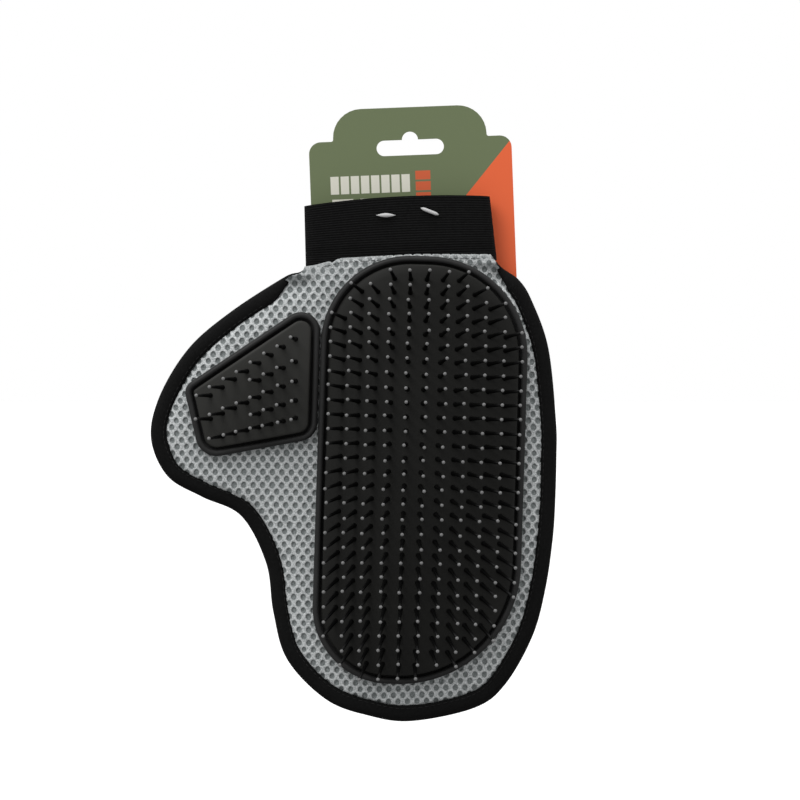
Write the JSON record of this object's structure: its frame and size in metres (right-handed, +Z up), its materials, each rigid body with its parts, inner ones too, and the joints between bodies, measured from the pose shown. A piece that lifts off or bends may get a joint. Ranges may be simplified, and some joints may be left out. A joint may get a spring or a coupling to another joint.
{
  "type": "pet grooming glove on header card",
  "caption": "Mitten of air mesh with domed pin pads on palm and thumb and an elastic cuff, tagged to a slotted header card.",
  "frame": {"origin": "centre of the half-round hump in the header card's hang slot, half way through the board", "axes": "+Z up, +Y out of the back of the card, -Y the way the pins point, +X towards the little-finger side of the glove"},
  "size_m": [0.1911, 0.0465, 0.2905],
  "materials": {
    "card_board": "coated printed board, satin, olive green and orange",
    "air_mesh": "grey polyester air mesh with staggered oval holes",
    "lining": "dark tricot lining",
    "binding": "black woven binding tape, rolled",
    "elastic": "black ribbed elastic",
    "tag_nylon": "milky nylon",
    "pad_rim": "black moulded rubber, satin",
    "cushion_rubber": "black rubber membrane, matt",
    "foam": "soft grey foam",
    "pin_shaft": "black nylon",
    "pin_tip": "grey ball tip"
  },
  "bodies": {
    "card": {"header_card": "card_board"},
    "palm": {"palm_mesh": "air_mesh", "palm_lining": "lining", "rear_mesh": "air_mesh", "rear_lining": "lining", "palm_binding": "binding", "wrist_cuff": "elastic", "tag_fasteners": "tag_nylon", "palm_pad_base": "pad_rim"},
    "palm_pad": {"palm_cushion": "cushion_rubber", "palm_foam": "foam", "palm_pins_1": "pin_shaft", "palm_pins_2": "pin_shaft", "palm_pins_3": "pin_shaft", "palm_pins_4": "pin_shaft", "palm_pins_5": "pin_shaft", "palm_pins_6": "pin_shaft", "palm_pins_7": "pin_shaft", "palm_pins_8": "pin_shaft", "palm_pins_9": "pin_shaft", "palm_pins_10": "pin_shaft", "palm_pins_11": "pin_shaft", "palm_pin_tips_1": "pin_tip", "palm_pin_tips_2": "pin_tip", "palm_pin_tips_3": "pin_tip", "palm_pin_tips_4": "pin_tip", "palm_pin_tips_5": "pin_tip", "palm_pin_tips_6": "pin_tip", "palm_pin_tips_7": "pin_tip", "palm_pin_tips_8": "pin_tip", "palm_pin_tips_9": "pin_tip", "palm_pin_tips_10": "pin_tip", "palm_pin_tips_11": "pin_tip"},
    "thumb": {"thumb_mesh": "air_mesh", "thumb_lining": "lining", "thumb_rear_mesh": "air_mesh", "thumb_rear_lining": "lining", "thumb_binding": "binding", "thumb_pad_base": "pad_rim"},
    "thumb_pad": {"thumb_cushion": "cushion_rubber", "thumb_foam": "foam", "thumb_pins_1": "pin_shaft", "thumb_pins_2": "pin_shaft", "thumb_pins_3": "pin_shaft", "thumb_pins_4": "pin_shaft", "thumb_pins_5": "pin_shaft", "thumb_pin_tips_1": "pin_tip", "thumb_pin_tips_2": "pin_tip", "thumb_pin_tips_3": "pin_tip", "thumb_pin_tips_4": "pin_tip", "thumb_pin_tips_5": "pin_tip"}
  },
  "joints": [
    {"name": "glove_swing", "type": "hinge", "parent": "card", "child": "palm", "pos_m": [0, 0.0011, -0.0354], "axis": [-1, 0, 0], "range_deg": [0, 14]},
    {"name": "thumb_fold", "type": "hinge", "parent": "palm", "child": "thumb", "pos_m": [-0.042, -0.0203, -0.12], "axis": [0, 0, 1], "range_deg": [0, 30], "stiffness_Nm_per_rad": 0.03},
    {"name": "palm_pad_press", "type": "slide", "parent": "palm", "child": "palm_pad", "axis": [0, 1, 0], "range_m": [0, 0.0015], "stiffness_N_per_m": 3000},
    {"name": "thumb_pad_press", "type": "slide", "parent": "thumb", "child": "thumb_pad", "axis": [0, 1, 0], "range_m": [0, 0.0015], "stiffness_N_per_m": 1500}
  ]
}
